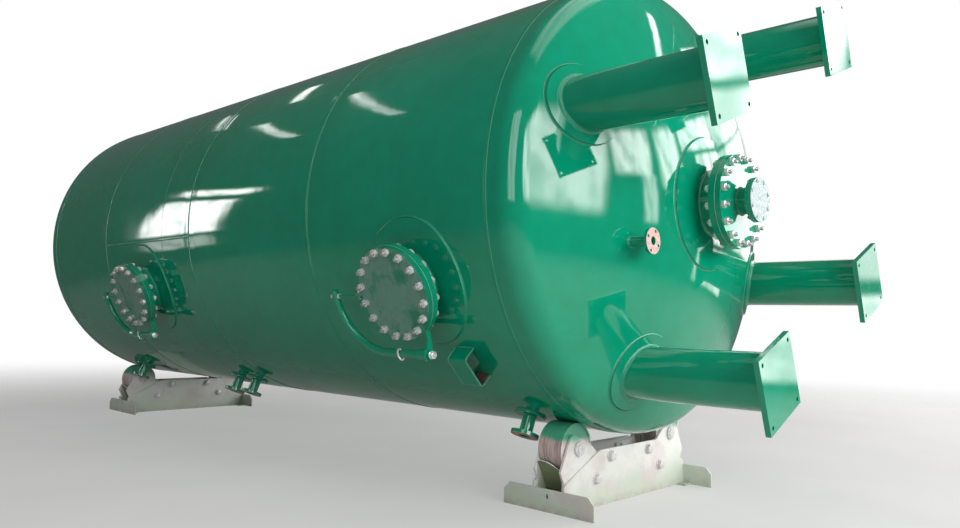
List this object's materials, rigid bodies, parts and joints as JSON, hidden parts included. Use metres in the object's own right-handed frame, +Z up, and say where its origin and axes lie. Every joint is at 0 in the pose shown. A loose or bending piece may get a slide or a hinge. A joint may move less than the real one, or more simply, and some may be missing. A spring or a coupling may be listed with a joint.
{
  "type": "pressure tank with four tube legs, lying on two turning rolls",
  "caption": "Green welded pressure tank with dished heads, tube legs on one head and bolted manholes, lying on turning rolls.",
  "frame": {"origin": "on the floor, under the tank's axis, at the middle of the turning roll by the legs", "axes": "+X along the tank towards the legs' base plates, +Y away from the manholes' side, +Z up"},
  "size_m": [8.3855, 3.2095, 3.4759],
  "materials": {
    "green_paint": "gloss",
    "cover_paint": "satin",
    "pale_blind": "satin",
    "nozzle_paint": "gloss",
    "frame_paint": "satin",
    "roller_steel": "satin"
  },
  "bodies": {
    "tank_on_rolls": {"shell_course_1": "green_paint", "shell_course_2": "green_paint", "shell_course_3": "green_paint", "shell_course_4": "green_paint", "leg_head": "green_paint", "plain_head": "green_paint", "leg_1": "green_paint", "leg_2": "green_paint", "leg_3": "green_paint", "leg_4": "green_paint", "base_plate_1": "green_paint", "base_plate_2": "green_paint", "base_plate_3": "green_paint", "base_plate_4": "green_paint", "centre_pad": "green_paint", "centre_neck": "green_paint", "centre_cover": "cover_paint", "cover_stub": "green_paint", "stub_blind": "pale_blind", "small_nozzle": "nozzle_paint", "manhole_pad_1": "green_paint", "manhole_neck_1": "green_paint", "manhole_pad_2": "green_paint", "manhole_neck_2": "green_paint", "drain_nozzle_1": "green_paint", "drain_nozzle_2": "green_paint", "drain_nozzle_3": "green_paint", "drain_nozzle_4": "green_paint", "plate_bracket": "green_paint", "roll_frame_1": "frame_paint", "roller_bracket_1": "frame_paint", "roller_bracket_2": "frame_paint", "roll_frame_2": "frame_paint", "roller_bracket_3": "frame_paint", "roller_bracket_4": "frame_paint"},
    "cover_by_legs": {"manhole_cover_1": "cover_paint", "davit_1": "green_paint"},
    "cover_far": {"manhole_cover_2": "cover_paint", "davit_2": "green_paint"},
    "roller_1": {"roller_1": "roller_steel"},
    "roller_2": {"roller_2": "roller_steel"},
    "roller_3": {"roller_3": "roller_steel"},
    "roller_4": {"roller_4": "roller_steel"}
  },
  "joints": [
    {"name": "cover_swing_by_legs", "type": "hinge", "parent": "tank_on_rolls", "child": "cover_by_legs", "pos_m": [-0.547, -1.41778, 0.96396], "axis": [1, 0, 0], "range_deg": [0, 110]},
    {"name": "cover_swing_far", "type": "hinge", "parent": "tank_on_rolls", "child": "cover_far", "pos_m": [-4.255, -1.41778, 0.96396], "axis": [1, 0, 0], "range_deg": [0, 110]},
    {"name": "roller_1_spin", "type": "hinge", "parent": "tank_on_rolls", "child": "roller_1", "pos_m": [0, -0.568, 0.383], "axis": [1, 0, 0], "continuous": true},
    {"name": "roller_2_spin", "type": "hinge", "parent": "tank_on_rolls", "child": "roller_2", "pos_m": [0, 0.568, 0.383], "axis": [1, 0, 0], "continuous": true},
    {"name": "roller_3_spin", "type": "hinge", "parent": "tank_on_rolls", "child": "roller_3", "pos_m": [-6.297, -0.568, 0.383], "axis": [1, 0, 0], "continuous": true},
    {"name": "roller_4_spin", "type": "hinge", "parent": "tank_on_rolls", "child": "roller_4", "pos_m": [-6.297, 0.568, 0.383], "axis": [1, 0, 0], "continuous": true}
  ]
}
